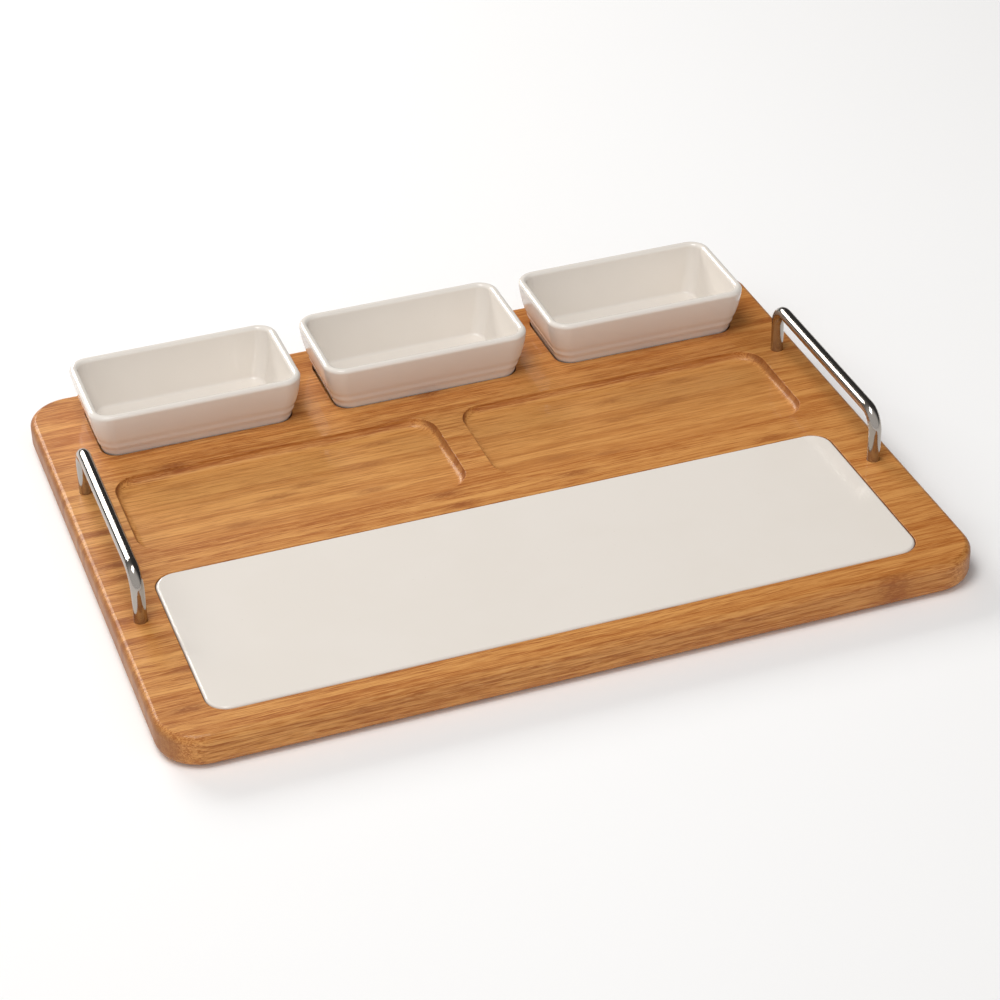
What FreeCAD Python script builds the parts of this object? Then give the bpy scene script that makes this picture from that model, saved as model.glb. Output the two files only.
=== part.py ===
"""Chip and dip server: a bamboo board with a long plate, three loaf-shaped bowls,
two shallow compartments and two bent-rod handles.

Units are millimetres. +Z is up, the board is longest along X, the bowls stand at
the back (+Y) and the plate lies at the front (-Y). The origin is the centre of
the underside of the board, which is the face that rests on the table.
"""
import math
import os

import FreeCAD
import Part

# ---------------------------------------------------------------- overall sizes
board_length = 460.0
board_width = 350.0
board_thick = 20.0

# ---------------------------------------------------------------- board outline
board_corner_r = 25.0
board_arris_inset = 3.5
board_arris_drop = 1.1
board_arris_round = 0.8
board_top_round = 4.5
board_bottom_round = 6.5

# ---------------------------------------------------------------- layout, front to back
front_margin = 19.2
plate_web = 23.1
bowl_web = 23.65
back_margin = 15.35
tray_mouth_width = 80.0
bowl_width = 73.5

# ---------------------------------------------------------------- plate and its recess
plate_side_margin = 29.5
plate_gap = 0.4
plate_thick = 8.0
plate_proud = 0.5
plate_corner_r = 12.0
plate_edge_round = 1.6
plate_foot_border = 9.0
plate_foot_depth = 1.0
plate_foot_corner_r = 8.0
plate_length = board_length - 2.0 * plate_side_margin
plate_recess_depth = plate_thick - plate_proud
recess_lip_round = 0.5

# ---------------------------------------------------------------- shallow compartments
tray_end_margin = 28.7
tray_middle_web = 15.8
tray_row_shift = 1.3
tray_mouth_round = 0.4
tray_cove = 4.5
tray_depth = 5.0
tray_corner_r = 15.6
tray_mouth_length = board_length / 2.0 - tray_end_margin - tray_middle_web / 2.0
tray_length = tray_mouth_length - 2.0 * tray_mouth_round
tray_width = tray_mouth_width - 2.0 * tray_mouth_round
tray_cx = tray_middle_web / 2.0 + tray_mouth_length / 2.0

# ---------------------------------------------------------------- bowls and their pockets
bowl_row_margin = 25.6
bowl_row_shift = 1.6
bowl_spacing_gap = 14.2
bowl_height = 35.6
bowl_wall = 4.8
bowl_floor = 5.0
bowl_rim_r = 12.5
bowl_base_r = 9.5
bowl_taper = 8.6
bowl_taper_power = 1.6
bowl_outer_sections = 27
bowl_inner_sections = 5
bowl_rim_round = 2.2
bowl_inner_floor_r = 8.0
bowl_inner_cove = 2.4
bowl_base_round = 2.0
bowl_foot_border = 6.0
bowl_foot_depth = 1.0
bowl_foot_corner_r = 6.5
bowl_valley_low = 9.6
bowl_valley_pitch = 5.4
bowl_valley_depth = 0.3
bowl_valleys = 2
pocket_depth = 6.0
pocket_side_gap = 0.35
pocket_end_gap = 0.9
pocket_lip_round = 0.4
bowl_length = (board_length - 2.0 * bowl_row_margin - 2.0 * bowl_spacing_gap) / 3.0
bowl_pitch = bowl_length + bowl_spacing_gap

# ---------------------------------------------------------------- handles
rod_d = 7.5
handle_inset = 15.0
handle_span = 133.0
handle_cy = 1.5
handle_rise = 29.5
handle_bend_r = 11.0
rod_gap = 0.1
leg_end_chamfer = 0.4

# ---------------------------------------------------------------- screws and washers
screw_d = 4.0
screw_tip_chamfer = 0.5
tap_gap = 0.15
tap_depth = 10.0
screw_engagement = 8.0
screw_head_d = 7.6
screw_head_h = 2.4
screw_head_rim_h = 1.3
screw_slot_w = 1.0
screw_slot_len = 4.2
screw_slot_depth = 1.3
washer_d = 9.0
washer_t = 0.8
washer_hole_play = 0.4
board_hole_play = 0.5
counterbore_play = 0.6
counterbore_depth = 5.4
socket_web = 3.6
washer_hole_d = screw_d + washer_hole_play
board_hole_d = screw_d + board_hole_play
counterbore_d = washer_d + counterbore_play
socket_depth = board_thick - counterbore_depth - socket_web

# ---------------------------------------------------------------- modelling allowances
least_straight = 0.5
overrun = 1.0
level_tol = 1e-3


def rounded_wire(cx, cy, length, width, radius, z):
    """Closed rounded rectangle in a level plane, starting on the right-hand side."""
    hx = length / 2.0
    hy = width / 2.0
    r = min(radius, hx - least_straight, hy - least_straight)
    k = r * math.sqrt(0.5)
    edges = []
    corners = [(1, 1), (-1, 1), (-1, -1), (1, -1)]
    for i, (sx, sy) in enumerate(corners):
        ox = cx + sx * (hx - r)
        oy = cy + sy * (hy - r)
        on_side = FreeCAD.Vector(ox + sx * r, oy, z)
        on_end = FreeCAD.Vector(ox, oy + sy * r, z)
        middle = FreeCAD.Vector(ox + sx * k, oy + sy * k, z)
        first, last = (on_side, on_end) if i % 2 == 0 else (on_end, on_side)
        edges.append(Part.Arc(first, middle, last).toShape())
        nx, ny = corners[(i + 1) % 4]
        px = cx + nx * (hx - r)
        py = cy + ny * (hy - r)
        if i % 2 == 0:
            following = FreeCAD.Vector(px, py + ny * r, z)
        else:
            following = FreeCAD.Vector(px + nx * r, py, z)
        edges.append(Part.makeLine(last, following))
    return Part.Wire(edges)


def rounded_block(cx, cy, length, width, radius, z, height):
    """Upright block with a rounded-rectangle plan."""
    face = Part.Face(rounded_wire(cx, cy, length, width, radius, z))
    return face.extrude(FreeCAD.Vector(0, 0, height))


def level_edges(shape, z, box=None):
    """Edges lying in the level plane z, inside box = (x0, x1, y0, y1) when given."""
    found = []
    for edge in shape.Edges:
        b = edge.BoundBox
        if abs(b.ZMin - z) > level_tol or abs(b.ZMax - z) > level_tol:
            continue
        if box is not None:
            if b.XMin < box[0] or b.XMax > box[1] or b.YMin < box[2] or b.YMax > box[3]:
                continue
        found.append(edge)
    return found


def around(cx, cy, length, width):
    """Box (x0, x1, y0, y1) that holds the rim of a recess of this size."""
    hx = length / 2.0 + overrun
    hy = width / 2.0 + overrun
    return cx - hx, cx + hx, cy - hy, cy + hy


def bowl_inset(z):
    """How far the outside of a bowl has drawn in at height z above its base."""
    return bowl_taper * (1.0 - z / bowl_height) ** bowl_taper_power


def bowl_valley(z):
    """Depth of the soft valleys that ring the outside of a bowl, at height z above its base."""
    first_crest = bowl_valley_low - bowl_valley_pitch / 2.0
    turns = (z - first_crest) / bowl_valley_pitch
    if turns <= 0.0 or turns >= bowl_valleys:
        return 0.0
    return bowl_valley_depth * (1.0 - math.cos(2.0 * math.pi * turns)) / 2.0


def bowl_radius(z):
    """Plan corner radius of the outside of a bowl at height z."""
    return bowl_base_r + (bowl_rim_r - bowl_base_r) * z / bowl_height


# The bowl row sets its own width, the plate takes up what the other rows leave.
pocket_length = bowl_length - 2.0 * bowl_inset(pocket_depth) + 2.0 * pocket_end_gap
pocket_width = bowl_width - 2.0 * bowl_inset(pocket_depth) + 2.0 * pocket_side_gap
pocket_corner_r = bowl_radius(pocket_depth) + pocket_side_gap
pocket_cy = board_width / 2.0 - back_margin - pocket_width / 2.0
tray_cy = pocket_cy - pocket_width / 2.0 - bowl_web - tray_mouth_width / 2.0
plate_back_y = tray_cy - tray_mouth_width / 2.0 - plate_web
plate_front_y = -board_width / 2.0 + front_margin
plate_width = plate_back_y - plate_front_y
plate_cy = (plate_back_y + plate_front_y) / 2.0


def bowl_centres():
    """Centres of the bowls, left to right."""
    return [(bowl_row_shift + i * bowl_pitch, pocket_cy) for i in (-1, 0, 1)]


def tray_centres():
    """X of the centres of the two compartments, left and right."""
    return [tray_row_shift - tray_cx, tray_row_shift + tray_cx]


def handle_xs():
    """X of the two handles, left and right."""
    return [-(board_length / 2.0 - handle_inset), board_length / 2.0 - handle_inset]


def leg_ys():
    """Y of the front and rear legs of a handle."""
    return [handle_cy - handle_span / 2.0, handle_cy + handle_span / 2.0]


def tray_cutter(cx):
    """Shape removed for one compartment: straight walls with a coved floor."""
    floor_z = board_thick - tray_depth
    tool = rounded_block(cx, tray_cy, tray_length, tray_width, tray_corner_r, floor_z, 2.0 * tray_depth)
    return tool.makeFillet(tray_cove, level_edges(tool, floor_z))


def make_blank():
    """Board before its recesses: a shallow bevel rounded into the side, a rounded bottom edge."""
    blank = rounded_block(0, 0, board_length, board_width, board_corner_r, 0, board_thick)
    blank = blank.makeChamfer(board_arris_drop, board_arris_inset, level_edges(blank, board_thick))
    shoulder = board_thick - board_arris_drop
    blank = blank.makeFillet(board_top_round, level_edges(blank, shoulder))
    blank = blank.makeFillet(board_arris_round, level_edges(blank, board_thick))
    return blank.makeFillet(board_bottom_round, level_edges(blank, 0.0))


def make_board():
    """Board with the plate recess, two compartments, three pockets and the leg sockets."""
    board = make_blank()
    recess_l = plate_length + 2.0 * plate_gap
    recess_w = plate_width + 2.0 * plate_gap
    recess = rounded_block(0, plate_cy, recess_l, recess_w, plate_corner_r + plate_gap,
                           board_thick - plate_recess_depth, 2.0 * plate_recess_depth)
    board = board.cut(recess)
    box = around(0, plate_cy, recess_l, recess_w)
    board = board.makeFillet(recess_lip_round, level_edges(board, board_thick, box))

    for cx in tray_centres():
        board = board.cut(tray_cutter(cx))
        box = around(cx, tray_cy, tray_length, tray_width)
        board = board.makeFillet(tray_mouth_round, level_edges(board, board_thick, box))

    for cx, cy in bowl_centres():
        pocket = rounded_block(cx, cy, pocket_length, pocket_width, pocket_corner_r,
                               board_thick - pocket_depth, 2.0 * pocket_depth)
        board = board.cut(pocket)
        box = around(cx, cy, pocket_length, pocket_width)
        board = board.makeFillet(pocket_lip_round, level_edges(board, board_thick, box))

    for x in handle_xs():
        for y in leg_ys():
            socket = Part.makeCylinder(rod_d / 2.0 + rod_gap, 2.0 * socket_depth,
                                       FreeCAD.Vector(x, y, board_thick - socket_depth))
            through = Part.makeCylinder(board_hole_d / 2.0, board_thick,
                                        FreeCAD.Vector(x, y, 0))
            bore = Part.makeCylinder(counterbore_d / 2.0, 2.0 * counterbore_depth,
                                     FreeCAD.Vector(x, y, -counterbore_depth))
            board = board.cut(socket).cut(through).cut(bore)
    return board


def make_plate():
    """Flat glazed slab with softened edges and a shallow hollow underneath."""
    z0 = board_thick - plate_recess_depth
    plate = rounded_block(0, plate_cy, plate_length, plate_width, plate_corner_r, z0, plate_thick)
    plate = plate.makeFillet(plate_edge_round, level_edges(plate, z0 + plate_thick))
    plate = plate.makeFillet(plate_edge_round, level_edges(plate, z0))
    hollow = rounded_block(0, plate_cy, plate_length - 2.0 * plate_foot_border,
                           plate_width - 2.0 * plate_foot_border,
                           plate_foot_corner_r, z0 - plate_foot_depth, 2.0 * plate_foot_depth)
    return plate.cut(hollow)


def make_bowl(cx, cy):
    """Loaf-shaped bowl with a round rim, drawn-in walls and two soft valleys ringing the base."""
    z0 = board_thick - pocket_depth
    outer = []
    for i in range(bowl_outer_sections):
        z = bowl_height * i / (bowl_outer_sections - 1)
        inset = bowl_inset(z) + bowl_valley(z)
        outer.append(rounded_wire(cx, cy, bowl_length - 2.0 * inset, bowl_width - 2.0 * inset,
                                  bowl_radius(z), z0 + z))
    outside = Part.makeLoft(outer, True, False)

    inner = []
    for i in range(bowl_inner_sections):
        share = i / (bowl_inner_sections - 1)
        z = bowl_floor + (bowl_height - bowl_floor) * share
        inset = bowl_inset(z) + bowl_wall
        r = bowl_inner_floor_r + (bowl_rim_r - bowl_wall - bowl_inner_floor_r) * share
        inner.append(rounded_wire(cx, cy, bowl_length - 2.0 * inset, bowl_width - 2.0 * inset,
                                  r, z0 + z))
    inside = Part.makeLoft(inner, True, False)
    inside = inside.makeFillet(bowl_inner_cove, level_edges(inside, z0 + bowl_floor))

    outside = outside.makeFillet(bowl_base_round, level_edges(outside, z0))
    bowl = outside.cut(inside)
    bowl = bowl.makeFillet(bowl_rim_round, level_edges(bowl, z0 + bowl_height))

    base_l = bowl_length - 2.0 * bowl_inset(0.0)
    base_w = bowl_width - 2.0 * bowl_inset(0.0)
    hollow = rounded_block(cx, cy, base_l - 2.0 * bowl_foot_border, base_w - 2.0 * bowl_foot_border,
                           bowl_foot_corner_r, z0 - bowl_foot_depth, 2.0 * bowl_foot_depth)
    return bowl.cut(hollow)


def make_handle(x):
    """Bent rod with two upright legs, each drilled at the foot for a screw."""
    y0, y1 = leg_ys()
    foot = board_thick - socket_depth
    top = board_thick + handle_rise
    r = handle_bend_r
    k = r * math.sqrt(0.5)
    v = FreeCAD.Vector
    path = Part.Wire([
        Part.makeLine(v(x, y0, foot), v(x, y0, top - r)),
        Part.Arc(v(x, y0, top - r), v(x, y0 + r - k, top - r + k), v(x, y0 + r, top)).toShape(),
        Part.makeLine(v(x, y0 + r, top), v(x, y1 - r, top)),
        Part.Arc(v(x, y1 - r, top), v(x, y1 - r + k, top - r + k), v(x, y1, top - r)).toShape(),
        Part.makeLine(v(x, y1, top - r), v(x, y1, foot)),
    ])
    ring = Part.Wire([Part.makeCircle(rod_d / 2.0, v(x, y0, foot), v(0, 0, 1))])
    rod = path.makePipeShell([ring], True, True)
    rod = rod.makeChamfer(leg_end_chamfer, level_edges(rod, foot))
    for y in (y0, y1):
        rod = rod.cut(Part.makeCylinder(screw_d / 2.0 + tap_gap, tap_depth + overrun,
                                        v(x, y, foot - overrun)))
    return rod


def make_washer(x, y):
    """Flat washer at the top of a counterbore."""
    z = counterbore_depth - washer_t
    at = FreeCAD.Vector(x, y, z)
    disc = Part.makeCylinder(washer_d / 2.0, washer_t, at)
    return disc.cut(Part.makeCylinder(washer_hole_d / 2.0, washer_t, at))


def make_screw(x, y):
    """Pan-head screw with a cross recess, driven up into a handle leg."""
    v = FreeCAD.Vector
    seat = counterbore_depth - washer_t
    tip = board_thick - socket_depth + screw_engagement
    crown = seat - screw_head_h
    rim = seat - screw_head_rim_h
    shank_r = screw_d / 2.0
    head_r = screw_head_d / 2.0
    dome_h = screw_head_h - screw_head_rim_h
    dome_r = (head_r ** 2 + dome_h ** 2) / (2.0 * dome_h)
    half = math.asin(head_r / dome_r) / 2.0
    on_dome = v(dome_r * math.sin(half), 0, crown + dome_r * (1.0 - math.cos(half)))
    corners = [v(0, 0, crown), v(0, 0, tip), v(shank_r - screw_tip_chamfer, 0, tip),
               v(shank_r, 0, tip - screw_tip_chamfer), v(shank_r, 0, seat),
               v(head_r, 0, seat), v(head_r, 0, rim)]
    edges = [Part.makeLine(p, q) for p, q in zip(corners, corners[1:])]
    edges.append(Part.Arc(corners[-1], on_dome, corners[0]).toShape())
    screw = Part.Face(Part.Wire(edges)).revolve(v(0, 0, 0), v(0, 0, 1), 360)
    for lx, ly in ((screw_slot_len, screw_slot_w), (screw_slot_w, screw_slot_len)):
        slot = Part.makeBox(lx, ly, screw_slot_depth + overrun,
                            v(-lx / 2.0, -ly / 2.0, crown - overrun))
        screw = screw.cut(slot)
    screw.translate(v(x, y, 0))
    return screw


def build():
    """Every separate piece, by node name."""
    pieces = {"board": make_board(), "plate": make_plate()}
    for name, (cx, cy) in zip(("left", "middle", "right"), bowl_centres()):
        pieces["bowl_" + name] = make_bowl(cx, cy)
    for side, x in zip(("left", "right"), handle_xs()):
        pieces["handle_" + side] = make_handle(x)
        for end, y in zip(("front", "rear"), leg_ys()):
            pieces["washer_" + side + "_" + end] = make_washer(x, y)
            pieces["screw_" + side + "_" + end] = make_screw(x, y)
    return pieces


os.makedirs("parts", exist_ok=True)
for node, shape in build().items():
    shape.exportStep("parts/" + node + ".step")
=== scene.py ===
"""Looks of the chip and dip server: bamboo board, glazed plate and bowls, steel handles.

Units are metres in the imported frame: +X along the board to the right, +Y towards the
bowls at the back, +Z up, origin at the centre of the underside of the board. The shapes
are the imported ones. This script gives them their materials, and adds the floor, the
lights and the camera. Inside the materials lengths are in millimetres.
"""
import math

import bpy
from mathutils import Matrix, Vector


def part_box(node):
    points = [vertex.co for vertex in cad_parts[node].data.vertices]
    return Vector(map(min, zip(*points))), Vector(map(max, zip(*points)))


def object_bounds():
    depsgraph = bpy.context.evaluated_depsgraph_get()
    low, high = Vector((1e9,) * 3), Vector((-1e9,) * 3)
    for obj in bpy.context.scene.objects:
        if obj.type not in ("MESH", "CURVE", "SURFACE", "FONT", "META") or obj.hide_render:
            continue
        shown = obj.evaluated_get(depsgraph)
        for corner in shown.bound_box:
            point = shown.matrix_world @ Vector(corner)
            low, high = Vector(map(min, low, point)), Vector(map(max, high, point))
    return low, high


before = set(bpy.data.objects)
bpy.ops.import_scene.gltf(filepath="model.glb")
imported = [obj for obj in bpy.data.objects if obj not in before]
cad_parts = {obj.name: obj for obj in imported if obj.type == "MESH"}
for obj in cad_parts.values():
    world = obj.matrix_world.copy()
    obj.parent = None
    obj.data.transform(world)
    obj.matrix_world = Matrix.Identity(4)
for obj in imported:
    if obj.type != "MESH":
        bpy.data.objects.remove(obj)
cad_low, cad_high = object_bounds()

MM = 1000.0
BOWLS = ("bowl_left", "bowl_middle", "bowl_right")
HANDLES = ("handle_left", "handle_right")
CORNERS = ("left_front", "left_rear", "right_front", "right_rear")

# ------------------------------------------------------------------ camera
CAMERA_AT = Vector((-0.4192, -1.2562, 0.8896))
CAMERA_HEADING = 18.89
CAMERA_PITCH = 33.79
CAMERA_ROLL = -1.42
CAMERA_LENS = 99.9
CAMERA_SENSOR = 36.0

# ------------------------------------------------------------------ studio
FLOOR_SIZE = 9.0
FLOOR_COLOUR = (0.96, 0.955, 0.95)
WORLD_COLOUR = (0.985, 0.99, 1.0)
WORLD_FRONT = 0.72
WORLD_BACK_LEFT = 0.20
WORLD_BACK_RIGHT = 0.06
WORLD_TURN = 28.0
LIGHT_AIM = Vector((0.0, 0.02, 0.02))
KEY_AT = (-0.80, 2.40, 1.32)
KEY_SIZE = (1.6, 0.95)
KEY_POWER = 46.0
KEY_COLOUR = (1.0, 0.985, 0.96)
OVERHEAD_AT = (-0.45, -0.25, 1.80)
OVERHEAD_SIZE = (0.7, 1.0)
OVERHEAD_POWER = 16.5
OVERHEAD_COLOUR = (1.0, 0.99, 0.98)

# ------------------------------------------------------------------ bamboo: lengths in millimetres
STRIP_PITCH = 6.6
STRIP_SHIFT = 400.0
KNOT_PITCH = 190.0
KNOT_LENGTH = 9.5
KNOT_SHARE = 0.42
KNOT_WAVE = 0.30
KNOT_BEND = 0.6
SWAY_REACH = 5.0
BAMBOO_LIGHT = (0.690, 0.328, 0.092)
BAMBOO_PALE = (0.780, 0.420, 0.150)
BAMBOO_MID = (0.425, 0.138, 0.022)
BAMBOO_DARK = (0.290, 0.078, 0.012)
BAMBOO_END = (0.225, 0.076, 0.020)
BAMBOO_END_LIGHT = (0.345, 0.136, 0.040)
BAMBOO_KNOT = (0.240, 0.066, 0.012)
# painted shade: the wood is painted darker towards the right end, standing in for the key light
# falling off there, along with some real darkening of the wood
RIGHT_SHADE_FROM = -120.0
RIGHT_SHADE_SHARE = 0.26
# painted sheen: the upward-facing floors of the compartments are painted lighter, standing in for
# the key light's sheen on them
COMPARTMENT_DIP = 3.0
COMPARTMENT_DEEP = 4.5
COMPARTMENT_SHEEN_SHARE = 0.28
END_SHARE = 0.72
DARK_FIBRE_SHARE = 0.75
HAIR_SHARE = 0.50
PALE_HAIR_SHARE = 0.40
FEATHER_SHARE = 0.80
KNOT_CORE_SHARE = 0.52
WOOD_ROUGHNESS = 0.44
WOOD_RELIEF = 0.00006
# share of each in the tone of the wood, and the sums that are darkest and lightest
STREAK_WEIGHT = 0.62
FIBRE_WEIGHT = 0.71
STRIP_WEIGHT = 0.24
DRIFT_WEIGHT = 0.25
TONE_DARKEST = 0.71
TONE_LIGHTEST = 1.11
# features per millimetre along and across the grain
SWAY = (0.012, 0.06)
STREAKS = (0.016, 0.52)
FIBRES = (0.060, 1.5)
HAIRS = (0.085, 2.3)
DASHES = (0.30, 1.7)
DOTS = (0.3, 2.2)

# ------------------------------------------------------------------ glaze: lengths in millimetres
GLAZE = (0.806, 0.751, 0.688)
GLAZE_POOLED = (0.796, 0.740, 0.674)
BISQUE = (0.640, 0.560, 0.460)
GLAZE_LINE = 0.45
BISQUE_ROUGHNESS = 0.62
# features per millimetre
CLOUDS = 0.022
RIPPLES = 0.055
SPECKS = 0.11
PEEL = 0.9
BISQUE_GRAIN = 3.5
PLATE_SHEEN = 0.15
BOWL_SHEEN = 0.06

# ------------------------------------------------------------------ metal: lengths in millimetres
STEEL = (0.440, 0.400, 0.360)
STEEL_ROUGHNESS = 0.10
ROD_BEND_TOP = 12.0
ROD_BEND_FOOT = 17.0
ZINC = (0.560, 0.575, 0.590)


class Graph:
    """Builds the nodes of one tree. Its methods return output sockets."""

    def __init__(self, tree):
        self.tree = tree

    def feed(self, socket, value):
        """Links an output socket, or sets a plain value."""
        if isinstance(value, bpy.types.NodeSocket):
            self.tree.links.new(value, socket)
        elif value is not None:
            socket.default_value = value

    def add(self, kind, inputs, out=0, **settings):
        """One node of that kind, with its inputs given by name or by number."""
        node = self.tree.nodes.new("ShaderNode" + kind)
        for key, value in settings.items():
            setattr(node, key, value)
        for key, value in inputs.items():
            self.feed(node.inputs[key], value)
        return node.outputs[out]

    def math(self, operation, a, b=None):
        return self.add("Math", {0: a, 1: b}, operation=operation)

    def product(self, *values):
        """All the values multiplied together."""
        total = values[0]
        for value in values[1:]:
            total = self.math("MULTIPLY", total, value)
        return total

    def scaled(self, vector, by):
        return self.add("VectorMath", {0: vector, 1: by}, operation="MULTIPLY")

    def joined(self, x, y, z):
        return self.add("CombineXYZ", {0: x, 1: y, 2: z})

    def split(self, vector):
        """The x, y and z of a vector."""
        parts = self.tree.nodes.new("ShaderNodeSeparateXYZ")
        self.feed(parts.inputs[0], vector)
        return list(parts.outputs)

    def noise(self, vector, detail=2.0, roughness=0.5):
        """Noise with features about one unit wide, from 0 to 1."""
        return self.add("TexNoise", {"Vector": vector, "Scale": 1.0, "Detail": detail,
                                     "Roughness": roughness})

    def even(self, vector, per_mm, detail=2.0):
        """Noise with that many features per millimetre each way."""
        return self.noise(self.scaled(vector, (per_mm, per_mm, per_mm)), detail)

    def grain(self, x, y, z, scale, detail=2.0, roughness=0.5):
        """Noise drawn out along X, with that scale along and across the grain."""
        along, across = scale
        spot = self.joined(self.product(x, along), self.product(y, across), self.product(z, across))
        return self.noise(spot, detail, roughness)

    def ease(self, value, low, high, start=0.0, end=1.0):
        """Smooth step from start to end while the value goes from low to high."""
        return self.add("MapRange", {0: value, 1: low, 2: high, 3: start, 4: end},
                        interpolation_type="SMOOTHSTEP")

    def blend(self, share, a, b):
        """Two colours mixed by share."""
        paint = [colour if isinstance(colour, bpy.types.NodeSocket) else (*colour, 1.0)
                 for colour in (a, b)]
        return self.add("Mix", {0: share, 6: paint[0], 7: paint[1]}, out=2, data_type="RGBA")

    def random(self, *keys):
        """Random value that stays the same over each whole-number key."""
        x, y, z = (list(keys) + [0.0, 0.0])[:3]
        return self.add("TexWhiteNoise", {"Vector": self.joined(x, y, z)})

    def bump(self, height, depth, strength=1.0, under=None):
        return self.add("Bump", {"Strength": strength, "Distance": depth, "Height": height,
                                 "Normal": under})


class Paint(Graph):
    """The nodes of one new material."""

    def __init__(self, name):
        self.material = bpy.data.materials.new(name)
        self.material.use_nodes = True
        super().__init__(self.material.node_tree)
        self.surface = self.tree.nodes["Principled BSDF"]

    def place(self):
        """Position in millimetres in the object's own frame: the vector, then x, y and z."""
        spot = self.scaled(self.add("TexCoord", {}, out="Object"), (MM, MM, MM))
        return spot, *self.split(spot)

    def facing(self, axis):
        """How squarely the surface faces along X, Y or Z, from 0 to 1 either way."""
        normal = self.add("TexCoord", {}, out="Normal")
        return self.math("ABSOLUTE", self.split(normal)["XYZ".index(axis)])

    def finish(self, **sockets):
        """Feeds the surface shader, with _ for a space in a socket's name."""
        for name, value in sockets.items():
            self.feed(self.surface.inputs[name.replace("_", " ")], value)
        return self.material


def bamboo():
    """Lacquered bamboo in upright strips along X, each with its own tone, fibres and knots."""
    g = Paint("bamboo_lacquered")
    spot, x, y, z = g.place()

    strip_at = g.math("DIVIDE", y, STRIP_PITCH)
    strip = g.math("FLOOR", strip_at)
    across = g.math("ABSOLUTE", g.math("SUBTRACT", g.math("FRACT", strip_at), 0.5))
    tone = g.random(strip, 3.0)
    shift = g.product(g.random(strip, 11.0), STRIP_SHIFT)
    along = g.math("ADD", x, shift)

    knot_at = g.math("DIVIDE", along, KNOT_PITCH)
    cell = g.math("FLOOR", knot_at)
    from_knot = g.product(g.math("SUBTRACT", g.math("FRACT", knot_at), 0.5), KNOT_PITCH)
    shown = g.math("LESS_THAN", g.random(strip, cell, 5.0), KNOT_SHARE)
    closeness = g.math("DIVIDE", from_knot, KNOT_LENGTH)
    hump = g.math("EXPONENT", g.product(closeness, closeness, -1.0))
    knot = g.product(hump, shown)

    sway = g.grain(along, y, z, SWAY, detail=1.0)
    bend = g.product(g.math("SINE", g.product(from_knot, KNOT_WAVE)), knot, KNOT_BEND)
    fibre_y = g.math("ADD", g.math("ADD", y, bend), g.product(sway, SWAY_REACH))
    streaks = g.grain(along, fibre_y, z, STREAKS, detail=3.0, roughness=0.6)
    fibres = g.grain(along, fibre_y, z, FIBRES, detail=4.0, roughness=0.65)
    hairs = g.grain(along, fibre_y, z, HAIRS)
    drift = g.noise(g.scaled(spot, (0.006, 0.012, 0.012)), detail=2.0)

    shade = g.math("ADD", g.product(streaks, STREAK_WEIGHT), g.product(tone, STRIP_WEIGHT))
    shade = g.math("ADD", shade, g.product(fibres, FIBRE_WEIGHT))
    shade = g.math("ADD", shade, g.product(drift, DRIFT_WEIGHT))
    light = g.ease(shade, TONE_DARKEST, TONE_LIGHTEST)
    colour = g.blend(light, BAMBOO_MID, BAMBOO_LIGHT)
    dark_fibre = g.product(g.ease(fibres, 0.56, 0.36), g.ease(streaks, 0.62, 0.40))
    colour = g.blend(g.product(dark_fibre, DARK_FIBRE_SHARE), colour, BAMBOO_DARK)
    hair_line = g.product(g.ease(hairs, 0.58, 0.70), HAIR_SHARE)
    colour = g.blend(hair_line, colour, BAMBOO_DARK)
    pale_line = g.product(g.ease(hairs, 0.44, 0.32), PALE_HAIR_SHARE)
    colour = g.blend(pale_line, colour, BAMBOO_PALE)

    dashes = g.grain(along, y, z, DASHES, detail=3.0)
    heart = g.math("SUBTRACT", 1.0, g.product(across, across, 3.4))
    feather = g.product(knot, heart, g.ease(dashes, 0.40, 0.56))
    colour = g.blend(g.product(feather, FEATHER_SHARE), colour, BAMBOO_KNOT)
    colour = g.blend(g.product(knot, heart, KNOT_CORE_SHARE), colour, BAMBOO_DARK)

    # Painted shade: darker towards the right end of the board, standing in for the key light
    # falling off there, along with some real darkening of the wood.
    right_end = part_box("board")[1].x * MM
    right_shade = g.product(g.ease(x, RIGHT_SHADE_FROM, right_end), RIGHT_SHADE_SHARE)
    colour = g.blend(right_shade, colour, BAMBOO_MID)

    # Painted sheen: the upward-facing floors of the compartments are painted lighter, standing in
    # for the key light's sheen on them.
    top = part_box("board")[1].z * MM
    sunk = g.ease(z, top - COMPARTMENT_DIP, top - COMPARTMENT_DEEP)
    level = g.ease(g.facing("Z"), 0.75, 0.95)
    colour = g.blend(g.product(sunk, level, COMPARTMENT_SHEEN_SHARE), colour, BAMBOO_LIGHT)

    end = g.ease(g.facing("X"), 0.45, 0.85)
    dots = g.grain(x, y, z, DOTS)
    end_colour = g.blend(g.random(strip, 17.0), BAMBOO_END, BAMBOO_END_LIGHT)
    end_colour = g.blend(g.product(g.ease(dots, 0.52, 0.68), 0.35), end_colour, BAMBOO_DARK)
    colour = g.blend(g.product(end, END_SHARE), colour, end_colour)
    glue = g.ease(across, 0.455, 0.495)
    glue_strength = g.math("ADD", 0.12, g.product(end, 0.25))
    colour = g.blend(g.product(glue, glue_strength), colour, BAMBOO_DARK)

    roughness = g.math("ADD", WOOD_ROUGHNESS, g.product(fibres, 0.14))
    roughness = g.math("ADD", roughness, g.product(end, 0.08))
    relief = g.math("ADD", g.product(fibres, 0.7), g.product(hairs, 0.3))
    relief = g.math("SUBTRACT", relief, g.product(glue, 0.3))
    normal = g.bump(relief, WOOD_RELIEF, 0.35)
    return g.finish(Base_Color=colour, Roughness=roughness, Normal=normal, IOR=1.33,
                    Coat_Weight=0.18, Coat_Roughness=0.12, Coat_IOR=1.5)


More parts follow.
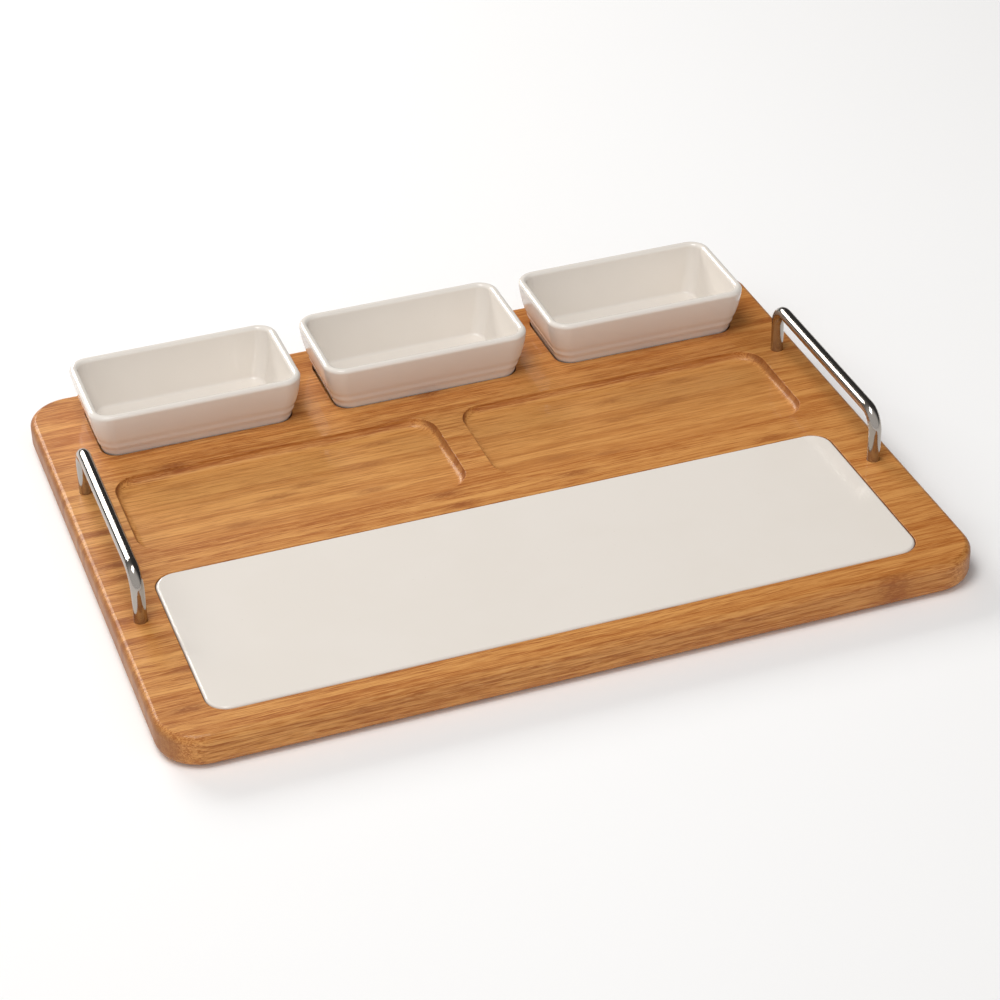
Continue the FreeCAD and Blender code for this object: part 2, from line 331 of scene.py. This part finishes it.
def glazed(name, foot_z, sheen):
    """Ivory glaze of roughness sheen, with a bare matt foot ring at height foot_z."""
    g = Paint(name)
    spot, _, _, z = g.place()
    cloud = g.even(spot, CLOUDS, detail=3.0)
    ripple = g.even(spot, RIPPLES, detail=1.0)
    peel = g.even(spot, PEEL)
    grain = g.even(spot, BISQUE_GRAIN, detail=3.0)

    colour = g.blend(g.ease(cloud, 0.35, 0.65), GLAZE_POOLED, GLAZE)
    speck = g.add("TexVoronoi", {"Vector": spot, "Scale": SPECKS, "Randomness": 1.0})
    colour = g.blend(g.ease(speck, 0.045, 0.02, 0.0, 0.35), colour, BISQUE)

    height = g.math("SUBTRACT", z, foot_z * MM)
    line = g.math("ADD", GLAZE_LINE, g.product(g.math("SUBTRACT", peel, 0.5), 0.5))
    bare = g.math("LESS_THAN", height, line)
    bisque = g.blend(grain, tuple(0.86 * c for c in BISQUE), BISQUE)
    colour = g.blend(bare, colour, bisque)

    roughness = g.math("ADD", sheen, g.product(peel, 0.05))
    roughness = g.math("ADD", roughness, g.product(bare, BISQUE_ROUGHNESS))
    wavy = g.bump(ripple, 0.00018, 0.22)
    normal = g.bump(g.math("ADD", peel, g.product(bare, grain, 4.0)), 0.000012, 0.5, wavy)
    return g.finish(Base_Color=colour, Roughness=roughness, Normal=normal, IOR=1.52)


def drawn_steel():
    """Stainless rod with a satin polish that runs along the rod and faint handling marks."""
    g = Paint("stainless_rod")
    spot, x, y, z = g.place()
    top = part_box("handle_left")[1].z * MM
    on_leg = g.ease(z, top - ROD_BEND_TOP, top - ROD_BEND_FOOT)
    run = g.noise(g.joined(g.product(x, 2.4), g.product(y, 0.04), g.product(z, 2.4)), detail=2.0)
    leg = g.noise(g.joined(g.product(x, 2.4), g.product(y, 2.4), g.product(z, 0.04)), detail=2.0)
    lines = g.math("ADD", g.product(run, g.math("SUBTRACT", 1.0, on_leg)), g.product(leg, on_leg))
    marks = g.noise(g.scaled(spot, (0.08, 0.05, 0.08)), detail=4.0, roughness=0.6)
    colour = g.blend(g.product(lines, 0.5), STEEL, tuple(0.86 * c for c in STEEL))
    roughness = g.math("ADD", STEEL_ROUGHNESS, g.product(lines, 0.05))
    roughness = g.math("ADD", roughness, g.product(g.ease(marks, 0.5, 0.7), 0.05))
    normal = g.bump(lines, 0.000001, 0.08)
    return g.finish(Base_Color=colour, Metallic=1.0, Roughness=roughness, Normal=normal)


def zinc_plate():
    """Turned, zinc-plated steel with rings round the fastener's own axis."""
    g = Paint("zinc_plated")
    spot, _, _, z = g.place()
    centre = g.add("VectorMath", {0: g.add("TexCoord", {}, out="Generated"), 1: (0.5, 0.5, 0.0)},
                   operation="SUBTRACT")
    flat = g.scaled(centre, (1.0, 1.0, 0.0))
    radius = g.add("VectorMath", {0: flat}, out="Value", operation="LENGTH")
    rings = g.noise(g.joined(g.product(radius, 70.0), 0.0, g.product(z, 1.5)), detail=2.0)
    cloud = g.even(spot, 0.8, detail=3.0)
    colour = g.blend(cloud, tuple(0.82 * c for c in ZINC), ZINC)
    roughness = g.math("ADD", 0.26, g.product(cloud, 0.20))
    normal = g.bump(rings, 0.00002, 0.5)
    return g.finish(Base_Color=colour, Metallic=1.0, Roughness=roughness, Normal=normal)


def floor_paint():
    """Plain pale studio floor."""
    g = Paint("studio_floor")
    spot, _, _, _ = g.place()
    soft = g.even(spot, 0.004)
    colour = g.blend(soft, FLOOR_COLOUR, tuple(0.99 * c for c in FLOOR_COLOUR))
    return g.finish(Base_Color=colour, Roughness=0.9)


def dress(nodes, material):
    """Gives the CAD nodes this material in every slot."""
    for name in nodes:
        mesh_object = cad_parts[name]
        if not mesh_object.material_slots:
            mesh_object.data.materials.append(None)
        for material_slot in mesh_object.material_slots:
            material_slot.material = material


def dress_all():
    dress(["board"], bamboo())
    dress(["plate"], glazed("plate_glaze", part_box("plate")[0].z, PLATE_SHEEN))
    dress(BOWLS, glazed("bowl_glaze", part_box("bowl_middle")[0].z, BOWL_SHEEN))
    dress(HANDLES, drawn_steel())
    fasteners = [kind + "_" + corner for kind in ("screw", "washer") for corner in CORNERS]
    dress(fasteners, zinc_plate())


def make_floor():
    """Floor plane under the board."""
    mesh = bpy.data.meshes.new("studio_floor")
    half = FLOOR_SIZE / 2.0
    corners = [(-half, -half, 0.0), (half, -half, 0.0), (half, half, 0.0), (-half, half, 0.0)]
    mesh.from_pydata(corners, [], [(0, 1, 2, 3)])
    floor = bpy.data.objects.new("studio_floor", mesh)
    floor.data.materials.append(floor_paint())
    floor.location.z = cad_low.z
    bpy.context.collection.objects.link(floor)


def soft_light(name, at, size, power, colour):
    """Rectangular soft light at a place, aimed at the object."""
    data = bpy.data.lights.new(name, "AREA")
    data.shape = "RECTANGLE"
    data.size, data.size_y = size
    data.energy = power
    data.color = colour
    light = bpy.data.objects.new(name, data)
    light.location = at
    light.rotation_euler = (LIGHT_AIM - Vector(at)).to_track_quat("-Z", "Y").to_euler()
    bpy.context.collection.objects.link(light)


def studio_world():
    """Soft surroundings: bright at the front left, dim behind, dimmest at the back right."""
    world = bpy.data.worlds.new("studio")
    world.use_nodes = True
    g = Graph(world.node_tree)
    toward = g.add("TexCoord", {}, out="Generated")
    turned = g.add("VectorRotate", {"Vector": toward, "Angle": math.radians(WORLD_TURN)},
                   rotation_type="Z_AXIS")
    back = g.ease(g.split(toward)[0], -0.45, 0.30, WORLD_BACK_LEFT, WORLD_BACK_RIGHT)
    strength = g.ease(g.split(turned)[1], 0.30, -0.45, back, WORLD_FRONT)
    background = g.tree.nodes["Background"]
    g.feed(background.inputs["Color"], (*WORLD_COLOUR, 1.0))
    g.feed(background.inputs["Strength"], strength)
    bpy.context.scene.world = world


def light_studio():
    """Key light from the back left and an overhead light, in soft surroundings."""
    soft_light("key", KEY_AT, KEY_SIZE, KEY_POWER, KEY_COLOUR)
    soft_light("overhead", OVERHEAD_AT, OVERHEAD_SIZE, OVERHEAD_POWER, OVERHEAD_COLOUR)
    studio_world()
    bpy.context.scene.view_settings.view_transform = "Standard"


def make_camera():
    """Camera at the viewing angle, looking down at the board from the front left."""
    data = bpy.data.cameras.new("camera")
    data.lens = CAMERA_LENS
    data.sensor_width = CAMERA_SENSOR
    data.dof.use_dof = False
    camera = bpy.data.objects.new("camera", data)
    turn = Matrix.Rotation(math.radians(-CAMERA_HEADING), 4, "Z")
    tilt = Matrix.Rotation(math.radians(90.0 - CAMERA_PITCH), 4, "X")
    roll = Matrix.Rotation(math.radians(CAMERA_ROLL), 4, "Z")
    camera.matrix_world = Matrix.Translation(CAMERA_AT) @ turn @ tilt @ roll
    bpy.context.collection.objects.link(camera)
    bpy.context.scene.camera = camera


make_camera()
dress_all()
make_floor()
light_studio()
